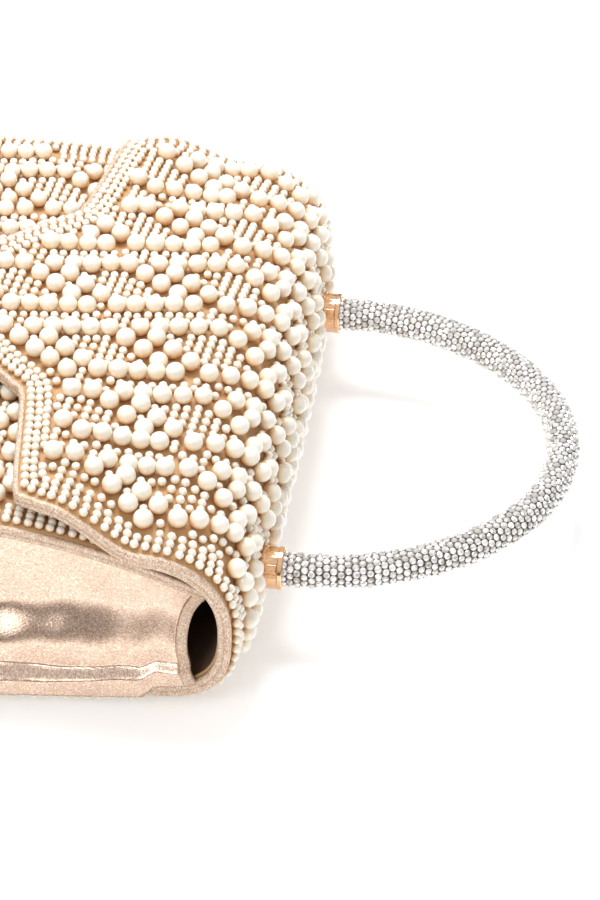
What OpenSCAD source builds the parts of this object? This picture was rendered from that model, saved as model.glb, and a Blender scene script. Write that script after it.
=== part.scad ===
// Beaded evening bag, lying on its back with the flap closed.
// X runs across the bag, Y from the base towards the handle, Z up through the flap.
// The origin is under the middle of everything, on the surface the bag lies on.

/* [Bag] */
// Half the width of the back along the base
back_half_base = 116; // [112:1:120]
// Half the width of the panel where it turns over the top
back_half_top = 105; // [103:1:107]
// Distance from the base to the crest of the rounded top
bag_h = 130.5; // [128:0.5:134]
// Height of the back panel's outer fabric above the ground
back_z = 6; // [5.5:0.1:6.5]
// Height of the flap's outer fabric above the ground
flap_z = 71; // [70:0.5:74]
// Half the width of the front panel
front_half = 100; // [98:1:101]
// Height of the front panel's outer fabric at the base
front_z = 62; // [60:0.5:62]

/* [Top and flap] */
// Depth of the rounded top, from its crest to where the flat panels start
top_depth = 29.5; // [28:0.5:31]
// How far the sides of the rounded top hang below its middle
top_drop = 14.5; // [13:0.5:16]
// How far the crest's ends stand back from its middle
top_bow = 3; // [2:0.5:4]
// How far the sides of the flap hang where it rests on the front
rest_drop = 3; // [2:0.5:3.5]
// Length of the flap from the rounded top to its tip
flap_l = 79; // [76:1:80]
// Half the width of the tongue where it leaves the flap
tongue_half = 50; // [46:1:54]
// Opening angle of the flap at which the hinge line crosses the rounded top
hinge_at = 35; // [30:1:40]

/* [Layers] */
// Thickness of the outer fabric
cover_t = 0.7; // [0.5:0.1:0.8]
// Thickness of the stiffening board
board_t = 1.9; // [1.6:0.1:2]
// Thickness of the lining
lining_t = 0.6; // [0.4:0.1:0.7]
// Diameter of the small beads
bead_d = 3; // [2.8:0.1:3]
// Diameter of the large pearls
pearl_d = 6; // [5:0.1:6]

/* [Handle] */
// Outer diameter of the stone-covered tube
tube_d = 10.8; // [10.4:0.1:11]
// Height of the handle's middle plane above the ground
handle_z = 26; // [25:0.5:27]
// Half the distance between the two end caps
cap_half = 65.5; // [64:0.5:67]
// Reach of the handle's centre line beyond the crest
handle_reach = 85.5; // [84:0.5:88]
// Outer diameter of the end caps
cap_d = 13.3; // [13:0.1:14]
// Length of the end caps
cap_l = 10; // [9:0.5:11]

/* [Hidden] */
$fn = 48;

gap = 0.1;                  // air between neighbouring layers
body_gap = 0.35;            // air between the bag and the flap at the hinge line
wall_t = cover_t + board_t + lining_t + 2 * gap;
tube_r = tube_d / 2;
total_l = bead_d + bag_h + handle_reach + tube_r;
base_y = bead_d - total_l / 2;           // outer fabric of the base
crest_y = base_y + bag_h;                // outer fabric of the rounded top's crest
fold_y = crest_y - top_depth;            // where the flat panels meet the rounded top
tip_y = fold_y - flap_l;
apex_y = crest_y + handle_reach;         // handle's centre line at its far end
rest_y = fold_y - 27;                    // from here on the flap lies on the front
step_y = fold_y - 41.5;                  // the straight step beside the tongue
step_soft = 4.5;
mouth_y = fold_y + 18.5;                   // front panel's free edge
front_bend_y = fold_y - 62;              // from here the front slopes down to the mouth
front_fall = 0.0029;
tip_rise = 2;
cap_y = crest_y - 2.5;                   // outer end face of the end caps' domes
cap_face_y = cap_y + cap_l;

function smooth(a, b, v) = let (t = min(1, max(0, (v - a) / (b - a)))) t * t * (3 - 2 * t);
function mix(a, b, t) = a + (b - a) * t;

// ---- outlines ----
function back_half(y) = mix(back_half_base, back_half_top, (y - base_y) / (fold_y - base_y));
function flap_body_half(y) = back_half_top - 0.003 * pow(fold_y + 23 - y, 2);
function flap_tongue_half(y) = tongue_half * pow(max(0.02, (y - tip_y) / 37), 0.6);
function flap_half(y) = mix(flap_tongue_half(y), flap_body_half(y),
    smooth(step_y - step_soft, step_y + step_soft, y));
// the same outline pulled in by inset on every side; it widens with y, so the near side decides
function flap_inner_half(y, inset) = flap_half(max(tip_y, y - inset)) - inset;
top_narrow = back_half_top - flap_body_half(fold_y);
function top_half(a) = back_half_top - top_narrow * (a + 90) / 180;

// ---- the panel that wraps from the back over the top and down the front ----
function side(x) = pow(x / back_half_top, 2);
function top_z(x) = flap_z - top_drop * side(x);
function mid_z(x) = (top_z(x) + back_z) / 2;
function half_z(x) = (top_z(x) - back_z) / 2;
function flap_rest_z(x, y) = flap_z - rest_drop * side(x) + tip_rise * smooth(rest_y, tip_y, y);
function flap_face_z(x, y) = mix(top_z(x), flap_rest_z(x, y), smooth(fold_y, rest_y, y));
// the rounded top is blunter than an ellipse, most of all towards the back
function depth(x) = top_depth - top_bow * side(x);
function blunt(v, a) = sign(v) * pow(abs(v), 2 / (a > 0 ? 2.2 : 3));
// a point on the rounded top, at angle a from the crest and height o above the outer fabric
function top_point(x, a, o) = [x, fold_y + (depth(x) + o) * blunt(cos(a), a),
    mid_z(x) + (half_z(x) + o) * blunt(sin(a), a)];
function flap_point(x, y, o) = [x, y, flap_face_z(x, y) + o];

// ---- hinge line, on the outside of the pearls ----
hinge_point = top_point(0, hinge_at, pearl_d);
// angle at which the panel at height o crosses the plane through the hinge line, shifted by d;
// found by halving, because the distance from that plane grows steadily with the angle
function cut_angle(x, o, d, low = -30, high = 89, halvings = 24) = let (
        a = (low + high) / 2,
        p = top_point(x, a, o) - hinge_point,
        past = cos(hinge_at) * p[2] - sin(hinge_at) * p[1] > d)
    halvings == 0 ? a : cut_angle(x, o, d, past ? low : a, past ? a : high, halvings - 1);

// ---- a closed sheet between two grids of points ----
module sheet(upper, under) {
    rows = len(upper);
    cols = len(upper[0]);
    n = rows * cols;
    points = concat([for (r = upper) for (p = r) p], [for (r = under) for (p = r) p]);
    faces = concat(
        [for (i = [0 : rows - 2]) for (j = [0 : cols - 2])
            [i * cols + j, (i + 1) * cols + j, i * cols + j + 1]],
        [for (i = [0 : rows - 2]) for (j = [0 : cols - 2])
            [i * cols + j + 1, (i + 1) * cols + j, (i + 1) * cols + j + 1]],
        [for (i = [0 : rows - 2]) for (j = [0 : cols - 2])
            [n + i * cols + j, n + i * cols + j + 1, n + (i + 1) * cols + j]],
        [for (i = [0 : rows - 2]) for (j = [0 : cols - 2])
            [n + i * cols + j + 1, n + (i + 1) * cols + j + 1, n + (i + 1) * cols + j]],
        [for (j = [0 : cols - 2]) [j, n + j + 1, n + j]],
        [for (j = [0 : cols - 2]) [j, j + 1, n + j + 1]],
        [for (j = [0 : cols - 2]) let (b = n - cols + j) [b, n + b + 1, b + 1]],
        [for (j = [0 : cols - 2]) let (b = n - cols + j) [b, n + b, n + b + 1]],
        [for (i = [0 : rows - 2]) let (b = i * cols) [b, n + b + cols, b + cols]],
        [for (i = [0 : rows - 2]) let (b = i * cols) [b, n + b, n + b + cols]],
        [for (i = [0 : rows - 2]) let (b = (i + 1) * cols - 1) [b, n + b + cols, n + b]],
        [for (i = [0 : rows - 2]) let (b = (i + 1) * cols - 1) [b, b + cols, n + b + cols]]
    );
    polyhedron(points, faces, convexity = 6);
}

// ---- grids for the layers of the top and the flap; inset pulls the outline in ----
across = [-1 : 1 / 6 : 1];
top_rows = 10;
arc_rows = 4;
flap_rows = 34;
function top_grid(o, inset) = [for (i = [0 : top_rows]) [for (t = across)
    let (x = t * (top_half(mix(-90, hinge_at, i / top_rows)) - inset))
    top_point(x, mix(-90, cut_angle(x, o, -body_gap), i / top_rows), o)]];
function flap_grid(o, inset, edge_o) = concat(
    [for (i = [0 : arc_rows - 1]) [for (t = across)
        let (x = t * (top_half(mix(hinge_at, 90, i / arc_rows)) - inset),
             h = mix(o, edge_o, pow(abs(t), 6)))
        top_point(x, mix(cut_angle(x, h, body_gap), 90, i / arc_rows), h)]],
    [for (i = [0 : flap_rows]) let (y = mix(fold_y, tip_y + inset, i / flap_rows)) [for (t = across)
        let (x = t * flap_inner_half(y, inset),
             h = mix(o, edge_o, max(pow(abs(t), 6), pow(i / flap_rows, 8))))
        flap_point(x, y, h)]]);

// ---- trapezoids of the flat back, seen from above ----
module back_outline(inset, from_y, to_y) {
    polygon([
        [-back_half(from_y) + inset, from_y], [back_half(from_y) - inset, from_y],
        [back_half(to_y) - inset, to_y], [-back_half(to_y) + inset, to_y]]);
}
module back_layer(z0, z1, inset, from_y) {
    translate([0, 0, z0])
        linear_extrude(height = z1 - z0)
            back_outline(inset, from_y, fold_y - gap);
}

// ---- heights of the front panel ----
function front_face_z(y) = front_z - front_fall * pow(max(0, y - front_bend_y), 2);
function front_profile(low, high, from_y, to_y) = concat(
    [for (i = [0 : 12]) let (y = mix(from_y, to_y, i / 12)) [y, front_face_z(y) + high]],
    [for (i = [12 : -1 : 0]) let (y = mix(from_y, to_y, i / 12)) [y, front_face_z(y) + low]]);
module front_layer(low, high, half, from_y, to_y) {
    translate([-half, 0, 0])
        rotate([90, 0, 90])
            linear_extrude(height = 2 * half)
                polygon(front_profile(low, high, from_y, to_y));
}

// ---- upright layers of the base, seen from the base ----
base_top_z = front_z - wall_t - gap;
module base_layer(y0, y1, inset, z0, z1) {
    function half_at(z) = mix(back_half_base, front_half, (z - back_z) / (front_z - back_z)) - inset;
    translate([0, y1, 0])
        rotate([90, 0, 0])
            linear_extrude(height = y1 - y0)
                polygon([[-half_at(z0), z0], [half_at(z0), z0], [half_at(z1), z1], [-half_at(z1), z1]]);
}

// ---- gussets ----
gusset_t = 1.2;
gusset_foot_z = 3.4;
hem_w = 3.2;
gusset_rows = 14;
gusset_cols = 6;
function gusset_top_z(y) = front_face_z(y) - wall_t - gap;
function gusset_end_y(h) = mix(fold_y + 13, mouth_y - hem_w, h) - 4 * sin(180 * h);
function gusset_x(y, h) = mix(back_half(min(y, fold_y)) + 1, front_half - 2.5, smooth(0, 1, h));
function gusset_point(y, h, o) = [gusset_x(y, h) + o, y, mix(gusset_foot_z, gusset_top_z(y), h)];
function gusset_grid(o) = [for (i = [0 : gusset_rows]) [for (j = [0 : gusset_cols])
    let (h = j / gusset_cols)
    gusset_point(mix(base_y + wall_t + gap, gusset_end_y(h), i / gusset_rows), h, o)]];
function hem_grid(o) = [for (i = [0 : 1]) [for (j = [0 : gusset_cols])
    let (h = j / gusset_cols)
    gusset_point(gusset_end_y(h) + gap + i * hem_w, h, o)]];

// ---- back ----
module back_cover() {
    color("#E6C9AC")
        back_layer(back_z, back_z + cover_t, 0, base_y + wall_t);
}
module back_board() {
    color("#B9A48C")
        back_layer(back_z + cover_t + gap, back_z + cover_t + gap + board_t, 0.8, base_y + wall_t);
}
module back_beads() {
    color("#F4EBDD")
        back_layer(0, back_z - gap, 0.5, base_y);
}
module lining_back() {
    color("#D8B98E")
        back_layer(back_z + wall_t - lining_t, back_z + wall_t, 1.5, base_y + wall_t);
}
pocket_w = 120;
pocket_h = 70;
pocket_t = 0.8;
pocket_y = -16;
module slip_pocket() {
    color("#D2B184")
        translate([-pocket_w / 2, pocket_y - pocket_h, back_z + wall_t + gap])
            cube([pocket_w, pocket_h, pocket_t]);
}

// ---- base ----
module base_cover() {
    color("#E6C9AC")
        base_layer(base_y, base_y + cover_t, 0, back_z, base_top_z);
}
module base_board() {
    color("#B9A48C")
        base_layer(base_y + cover_t + gap, base_y + cover_t + gap + board_t, 0.8, back_z, base_top_z);
}
module base_beads() {
    color("#F4EBDD")
        base_layer(base_y - bead_d, base_y - gap, 1, back_z, base_top_z);
}
module lining_base() {
    color("#D8B98E")
        base_layer(base_y + wall_t - lining_t, base_y + wall_t - gap, 2, back_z + wall_t + gap, base_top_z);
}

// ---- front ----
front_back_y = base_y + gap;
binding_t = 1.4;
module front_cover() {
    color("#E6C9AC")
        front_layer(-cover_t, 0, front_half - binding_t - gap, front_back_y, mouth_y - binding_t - gap);
}
module front_board() {
    color("#B9A48C")
        front_layer(-cover_t - gap - board_t, -cover_t - gap, front_half - binding_t - gap,
            front_back_y, mouth_y - binding_t - gap);
}
module front_beads() {
    color("#F4EBDD")
        difference() {
            front_layer(gap, bead_d, front_half - 4, front_back_y, fold_y + 9);
            translate([0, snap_y, 0])
                cylinder(h = 200, d = snap_d + 3);
        }
}
module lining_front() {
    color("#D8B98E")
        front_layer(-wall_t, -wall_t + lining_t, front_half - 3.8, base_y + wall_t, mouth_y - 2);
}
// a rolled strip round both sides and the mouth edge
module front_binding() {
    color("#D9AE94")
        difference() {
            front_layer(-wall_t, 1.2, front_half, front_back_y, mouth_y);
            front_layer(-20, 20, front_half - binding_t, front_back_y - 5, mouth_y - binding_t);
        }
}

// ---- gussets and their hems ----
module gusset_near() {
    color("#CFA58C")
        sheet(gusset_grid(0), gusset_grid(gusset_t));
}
module gusset_far() {
    color("#CFA58C")
        mirror([1, 0, 0])
            sheet(gusset_grid(0), gusset_grid(gusset_t));
}
module gusset_hem_near() {
    color("#D9AE94")
        sheet(hem_grid(-0.4), hem_grid(gusset_t + 0.4));
}
module gusset_hem_far() {
    color("#D9AE94")
        mirror([1, 0, 0])
            sheet(hem_grid(-0.4), hem_grid(gusset_t + 0.4));
}

// ---- rounded top ----
module top_cover() {
    color("#E6C9AC")
        sheet(top_grid(-cover_t, 0), top_grid(0, 0));
}
module top_board() {
    color("#B9A48C")
        sheet(top_grid(-cover_t - gap - board_t, 0.8), top_grid(-cover_t - gap, 0.8));
}
module top_beads() {
    color("#F4EBDD")
        difference() {
            sheet(top_grid(gap, 2), top_grid(pearl_d, 2));
            for (s = [-1, 1])
                at_cap(s)
                    translate([0, 0, -6])
                        cylinder(h = 20, r = cap_r + gap);
        }
}
module lining_top() {
    color("#D8B98E")
        sheet(top_grid(-wall_t, 1.5), top_grid(-wall_t + lining_t, 1.5));
}

// ---- flap ----
edge_inset = 2.2;
module flap_cover() {
    color("#E6C9AC")
        sheet(flap_grid(-cover_t, edge_inset, -cover_t), flap_grid(0, edge_inset, 0));
}
module flap_board() {
    color("#B9A48C")
        difference() {
            sheet(flap_grid(-cover_t - gap - board_t, edge_inset, -cover_t - gap - board_t),
                flap_grid(-cover_t - gap, edge_inset, -cover_t - gap));
            translate([0, snap_y, stud_washer_z - gap])
                cylinder(h = 4, d = stud_washer_d + 2 * gap);
        }
}
module flap_beads() {
    color("#F4EBDD")
        sheet(flap_grid(gap, 4, gap), flap_grid(pearl_d, 4, bead_d));
}
module lining_flap() {
    color("#E3CFA6")
        sheet(flap_grid(-wall_t, edge_inset, -wall_t),
            flap_grid(-wall_t + lining_t, edge_inset, -wall_t + lining_t));
}
// a strip of fabric folded over the flap's edge, as a thin wall that follows the outline
function edge_station(i) = let (n = flap_rows) i <= n ? [1, mix(fold_y, tip_y, i / n)]
    : [-1, mix(tip_y, fold_y, (i - n - 1) / n)];
function edge_point(i, inset, o) = let (
        s = edge_station(i),
        half = flap_half(s[1]) - inset,
        x = s[0] * max(0.6, half))
    flap_point(x, s[1] + inset * smooth(tip_y + 12, tip_y, s[1]), o);
function edge_grid(inset) = [for (i = [0 : 2 * flap_rows + 1]) [for (o = [-wall_t, 0.4])
    edge_point(i, inset, o)]];
module flap_binding() {
    color("#D9AE94")
        sheet(edge_grid(0), edge_grid(1.45));
}

// ---- magnetic snap ----
snap_d = 18;
snap_t = 2.9;
snap_y = fold_y - 62;
module snap_socket() {
    color("#D9B36A")
        translate([0, snap_y, front_face_z(snap_y) + gap])
            difference() {
                cylinder(h = snap_t, d = snap_d);
                translate([0, 0, snap_t - 1])
                    cylinder(h = 2, d = 7);
            }
}
module snap_socket_washer() {
    color("#C9C9C9")
        translate([0, snap_y, front_face_z(snap_y) - wall_t - 5 * gap - 1])
            cylinder(h = 1, d = snap_d - 2);
}
snap_stud_z = front_face_z(snap_y) + snap_t + 2 * gap + 0.2;
flap_under_z = flap_face_z(0, snap_y) - wall_t - 5 * gap;
stud_washer_d = snap_d - 6;
stud_washer_z = flap_face_z(0, snap_y) - cover_t - 1;
module snap_stud() {
    color("#D9B36A")
        translate([0, snap_y, snap_stud_z])
            union() {
                cylinder(h = flap_under_z - snap_stud_z, d = snap_d);
                translate([0, 0, -0.8])
                    cylinder(h = 2, d = 6.4);
            }
}
module snap_stud_washer() {
    color("#C9C9C9")
        translate([0, snap_y, stud_washer_z])
            cylinder(h = 0.6, d = stud_washer_d);
}

// ---- handle: straight legs, two side arcs and a crown arc ----
side_x = 12;                             // the side arcs are struck from this far past the middle
side_r = cap_half + side_x;
crown_r = side_r - side_x * 5 / 3;       // a 3-4-5 triangle joins the arcs' centres
crown_y = apex_y - crown_r;
side_y = crown_y - side_x * 4 / 3;
crown_turn = acos(3 / 5);
tube_y = cap_face_y - 5;                 // the tube starts inside the caps
// places along the centre line from one cap to the other: x, y and the direction of the outer side
side_steps = 7;
crown_steps = 10;
half_line = concat(
    [[cap_half, tube_y, 0]],
    [for (i = [0 : side_steps]) let (a = crown_turn * i / side_steps)
        [side_r * cos(a) - side_x, side_y + side_r * sin(a), a]]);
crown_line = [for (i = [1 : crown_steps - 1]) let (a = mix(crown_turn, 180 - crown_turn, i / crown_steps))
    [crown_r * cos(a), crown_y + crown_r * sin(a), a]];
arch_line = concat(
    half_line,
    crown_line,
    [for (i = [len(half_line) - 1 : -1 : 0]) let (p = half_line[i]) [-p[0], p[1], 180 - p[2]]]);
tube_sides = 20;
function tube_ring(p, radius) = [for (k = [0 : tube_sides - 1]) let (b = 360 * k / tube_sides)
    [p[0] + radius * cos(b) * cos(p[2]), p[1] + radius * cos(b) * sin(p[2]), handle_z + radius * sin(b)]];
// a round bar along the arch
module bar(radius) {
    n = len(arch_line);
    points = [for (p = arch_line) for (q = tube_ring(p, radius)) q];
    sides = [for (i = [0 : n - 2]) for (k = [0 : tube_sides - 1])
        let (b = i * tube_sides, c = (k + 1) % tube_sides)
        [b + k, b + c, b + tube_sides + c, b + tube_sides + k]];
    near_end = [for (k = [tube_sides - 1 : -1 : 0]) k];
    far_end = [for (k = [0 : tube_sides - 1]) (n - 1) * tube_sides + k];
    polyhedron(points, concat([near_end], sides, [far_end]), convexity = 6);
}
// a pipe along the arch
module pipe(outer, inner) {
    n = len(arch_line);
    m = n * tube_sides;
    points = concat(
        [for (p = arch_line) for (q = tube_ring(p, outer)) q],
        [for (p = arch_line) for (q = tube_ring(p, inner)) q]);
    outside = [for (i = [0 : n - 2]) for (k = [0 : tube_sides - 1])
        let (b = i * tube_sides, c = (k + 1) % tube_sides)
        [b + k, b + c, b + tube_sides + c, b + tube_sides + k]];
    inside = [for (f = outside) [m + f[3], m + f[2], m + f[1], m + f[0]]];
    ends = [for (e = [0, n - 1]) for (k = [0 : tube_sides - 1])
        let (b = e * tube_sides, c = (k + 1) % tube_sides)
        e == 0 ? [b + c, b + k, m + b + k, m + b + c] : [b + k, b + c, m + b + c, m + b + k]];
    polyhedron(points, concat(outside, inside, ends), convexity = 8);
}
core_r = 3.4;
module handle_core() {
    color("#8F8F92")
        bar(core_r);
}
module stone_sleeve() {
    color("#C8C8CC")
        pipe(tube_r, core_r + 0.05);
}

// ---- end caps, on the line of the legs ----
cap_r = cap_d / 2;
screw_r = 2;
window_turn = 30;
module at_cap(s) {
    translate([s * cap_half, cap_y, handle_z])
        rotate([-90, 0, 0])
            children();
}
module end_cap(s) {
    color("#E2B066")
        at_cap(s)
            difference() {
                rotate_extrude()
                    polygon(concat(
                        [[0, 0]],
                        [for (a = [0 : 15 : 90]) [3.4 + (cap_r - 3.4) * sin(a), 3.6 - 3.6 * cos(a)]],
                        [[cap_r, cap_l], [0, cap_l]]));
                translate([0, 0, cap_l - 5.1])
                    cylinder(h = 6, r = tube_r + 0.05);
                translate([0, 0, -1])
                    cylinder(h = 7, r = screw_r + 0.05);
                rotate([0, 0, -window_turn])
                    translate([tube_r - 1.2, -2.2, 4.6])
                        cube([3, 4.4, 3.8]);
            }
}
module end_cap_near() {
    end_cap(1);
}
module end_cap_far() {
    end_cap(-1);
}
module cap_tongue(s) {
    color("#E8BE7C")
        at_cap(s)
            rotate([0, 0, -window_turn])
                translate([tube_r + 0.15, -2, 4.8])
                    cube([0.8, 2.8, 3.4]);
}
module cap_tongue_near() {
    cap_tongue(1);
}
module cap_tongue_far() {
    cap_tongue(-1);
}
// screws come from inside the rounded top, through its wall, into the caps
washer_y = fold_y + top_depth - wall_t - 5.5;
module handle_screw(s) {
    color("#B8B8BA")
        translate([s * cap_half, 0, handle_z])
            rotate([-90, 0, 0]) {
                translate([0, 0, washer_y - 2.2])
                    cylinder(h = 2.1, r = 3.6);
                translate([0, 0, washer_y - 0.2])
                    cylinder(h = cap_y + 4.5 - washer_y, r = screw_r);
            }
}
module handle_screw_near() {
    handle_screw(1);
}
module handle_screw_far() {
    handle_screw(-1);
}
module handle_washer(s) {
    color("#C9C9C9")
        translate([s * cap_half, washer_y, handle_z])
            rotate([-90, 0, 0])
                difference() {
                    cylinder(h = 1, r = 4.5);
                    translate([0, 0, -1])
                        cylinder(h = 3, r = screw_r + 0.05);
                }
}
module handle_washer_near() {
    handle_washer(1);
}
module handle_washer_far() {
    handle_washer(-1);
}

back_cover();
back_board();
back_beads();
lining_back();
slip_pocket();
base_cover();
base_board();
base_beads();
lining_base();
front_cover();
front_board();
front_beads();
front_binding();
lining_front();
gusset_near();
gusset_far();
gusset_hem_near();
gusset_hem_far();
top_cover();
top_board();
top_beads();
lining_top();
flap_cover();
flap_board();
flap_beads();
lining_flap();
flap_binding();
snap_socket();
snap_socket_washer();
snap_stud();
snap_stud_washer();
handle_core();
stone_sleeve();
end_cap_near();
end_cap_far();
cap_tongue_near();
cap_tongue_far();
handle_screw_near();
handle_screw_far();
handle_washer_near();
handle_washer_far();
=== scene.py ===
import math

import bmesh
import bpy
import numpy as np
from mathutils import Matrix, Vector


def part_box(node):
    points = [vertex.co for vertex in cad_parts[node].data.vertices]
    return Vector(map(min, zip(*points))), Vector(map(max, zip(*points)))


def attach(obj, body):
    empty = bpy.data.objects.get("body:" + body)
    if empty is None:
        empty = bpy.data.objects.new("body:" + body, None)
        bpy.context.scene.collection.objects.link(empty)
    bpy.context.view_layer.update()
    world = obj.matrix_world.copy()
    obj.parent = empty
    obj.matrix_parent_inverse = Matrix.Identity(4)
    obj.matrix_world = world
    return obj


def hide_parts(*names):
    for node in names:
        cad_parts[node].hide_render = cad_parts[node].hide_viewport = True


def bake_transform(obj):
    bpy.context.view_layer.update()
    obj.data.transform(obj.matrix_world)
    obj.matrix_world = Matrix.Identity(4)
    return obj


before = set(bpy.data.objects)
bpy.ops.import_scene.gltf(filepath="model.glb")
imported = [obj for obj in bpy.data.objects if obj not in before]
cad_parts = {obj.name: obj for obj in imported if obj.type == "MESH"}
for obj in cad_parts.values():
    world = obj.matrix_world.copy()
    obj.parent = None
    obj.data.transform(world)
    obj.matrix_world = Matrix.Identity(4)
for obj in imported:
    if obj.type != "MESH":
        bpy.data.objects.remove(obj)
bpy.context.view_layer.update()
mm = 0.001                      # shapes are worked out in millimetres and stored in metres
rng = np.random.default_rng(11)
print("frame loaded")


def nodeBox(node):
    low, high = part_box(node)
    return np.array(low) / mm, np.array(high) / mm


def smooth(a, b, v):            # 0 before a, 1 after b, easing between
    t = np.clip((v - a) / (b - a), 0, 1)
    return t * t * (3 - 2 * t)


# the panel's shape: driving sizes read from the frame, bends as the solids have them
bag = {
    "baseY": nodeBox("base_cover")[0][1],
    "crestY": nodeBox("top_cover")[1][1],
    "foldY": nodeBox("top_cover")[0][1],
    "tipY": nodeBox("flap_binding")[0][1],
    "mouthY": nodeBox("front_binding")[1][1],
    "backZ": nodeBox("back_cover")[0][2],
    "frontZ": nodeBox("front_cover")[1][2],
    "halfTop": nodeBox("top_cover")[1][0],
    "halfBase": nodeBox("base_cover")[1][0],
    "halfFront": nodeBox("front_binding")[1][0],
    "wall": 3.4,                # fabric, board and lining together
    "topDrop": 14.5,            # how far the sides of the rounded top hang
    "topBow": 3,                # how far the crest's ends stand back from its middle
    "bluntTop": 2.2,            # 2 would make the rounded top an ellipse, more makes it squarer
    "bluntBack": 3,
    "restDrop": 3,              # the same where the flap rests on the front
    "tipRise": 2,
    "restRun": 27,
    "stepRun": 41.5,            # from the rounded top to the step beside the tongue
    "flapTaper": 0.003,         # how fast the flap's sides slope in, from a little behind the fold
    "taperFrom": 23,
    "tongueHalf": 50,
    "frontBend": 62,
    "frontFall": 0.0029,
}
bag["depth"] = bag["crestY"] - bag["foldY"]
bag["flapZ"] = nodeBox("flap_cover")[1][2] - bag["tipRise"]


def side(x):
    return (x / bag["halfTop"]) ** 2


def topHeight(x):
    return bag["flapZ"] - bag["topDrop"] * side(x)


def flapHeight(x, y):           # the sides lift from the rounded top's hang to the resting height
    rest = bag["flapZ"] - bag["restDrop"] * side(x) + bag["tipRise"] * smooth(
        -bag["foldY"] + bag["restRun"], -bag["tipY"], -y)
    return topHeight(x) + (rest - topHeight(x)) * smooth(-bag["foldY"], -bag["foldY"] + bag["restRun"], -y)


def flapHalf(y):                # sloping sides, a straight step, then a tongue with a rounded tip
    body = bag["halfTop"] - bag["flapTaper"] * (bag["foldY"] + bag["taperFrom"] - y) ** 2
    tongue = bag["tongueHalf"] * np.maximum(0.0, (y - bag["tipY"]) / 37) ** 0.6
    step = bag["foldY"] - bag["stepRun"]
    return tongue + (body - tongue) * smooth(step - 4.5, step + 4.5, y)


def backHalf(y):
    t = (y - bag["baseY"]) / (bag["foldY"] - bag["baseY"])
    return bag["halfBase"] + (bag["halfTop"] - bag["halfBase"]) * t


def frontHeight(y):
    return bag["frontZ"] - bag["frontFall"] * np.maximum(0, y - bag["foldY"] + bag["frontBend"]) ** 2


def depthAt(x):
    return bag["depth"] - bag["topBow"] * side(x)


arcShare = np.linspace(1, -1, 121)
arcAngles = math.pi / 2 * np.sign(arcShare) * arcShare ** 2 * (3 - 2 * np.abs(arcShare))
arcPower = np.where(arcAngles > 0, 2 / bag["bluntTop"], 2 / bag["bluntBack"])
arcAhead = np.abs(np.cos(arcAngles)) ** arcPower            # share of the depth
arcRise = np.sign(arcAngles) * np.abs(np.sin(arcAngles)) ** arcPower     # share of the half height


def arcTable(x):                # length along the rounded top from the flap's side, for each x
    halfZ = (topHeight(x) - bag["backZ"]) / 2
    steps = np.hypot(np.diff(arcAhead) * depthAt(x)[:, None], np.diff(arcRise) * halfZ[:, None])
    return np.concatenate([np.zeros((len(x), 1)), np.cumsum(steps, 1)], 1)


# a point of the wrapped panel: g runs along the panel, equal to y on the flap and going on by length
# round the top and along the back; x runs across; o is the height above the outer fabric
def wrapPoint(g, x, o):
    g, x, o = (np.asarray(v, float).ravel() for v in np.broadcast_arrays(g, x, o))
    run = g - bag["foldY"]
    top = topHeight(x)
    midZ, halfZ = (top + bag["backZ"]) / 2, (top - bag["backZ"]) / 2
    table = arcTable(x)
    column = np.clip((table < run[:, None]).sum(1), 1, len(arcShare) - 1)
    rows = np.arange(len(g))
    before, after = table[rows, column - 1], table[rows, column]
    part = np.clip((run - before) / (after - before), 0, 1)
    ahead = arcAhead[column - 1] + (arcAhead[column] - arcAhead[column - 1]) * part
    rise = arcRise[column - 1] + (arcRise[column] - arcRise[column - 1]) * part
    y = bag["foldY"] + (depthAt(x) + o) * ahead
    z = midZ + (halfZ + o) * rise
    flap = run <= 0
    past = run - table[:, -1]
    back = past > 0
    y = np.where(flap, g, np.where(back, bag["foldY"] - past, y))
    z = np.where(flap, flapHeight(x, g) + o, np.where(back, bag["backZ"] - o, z))
    return np.stack([x, y, z], 1)


def wrapNormal(g, x):
    d = 0.4
    along = wrapPoint(g + d, x, 0) - wrapPoint(g - d, x, 0)
    across = wrapPoint(g, x + d, 0) - wrapPoint(g, x - d, 0)
    n = np.cross(across, along)
    return n / np.linalg.norm(n, axis=1, keepdims=True)


edgeArc, midArc = arcTable(np.array([bag["halfTop"], 0.0]))[:, -1]


def wrapHalf(g):                # half width of the panel at g, edges measured along the edge
    run = g - bag["foldY"]
    atFold = flapHalf(bag["foldY"])
    turn = atFold + (bag["halfTop"] - atFold) * np.clip(run / edgeArc, 0, 1)
    back = backHalf(bag["foldY"] - (run - edgeArc))
    return np.where(run <= 0, flapHalf(g), np.where(run <= edgeArc, turn, back))


fabric = (0.0, -0.7)            # outer and inner face of each layer, from the outer fabric in
board = (-0.8, -2.7)
lining = (-2.8, -3.4)


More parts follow.
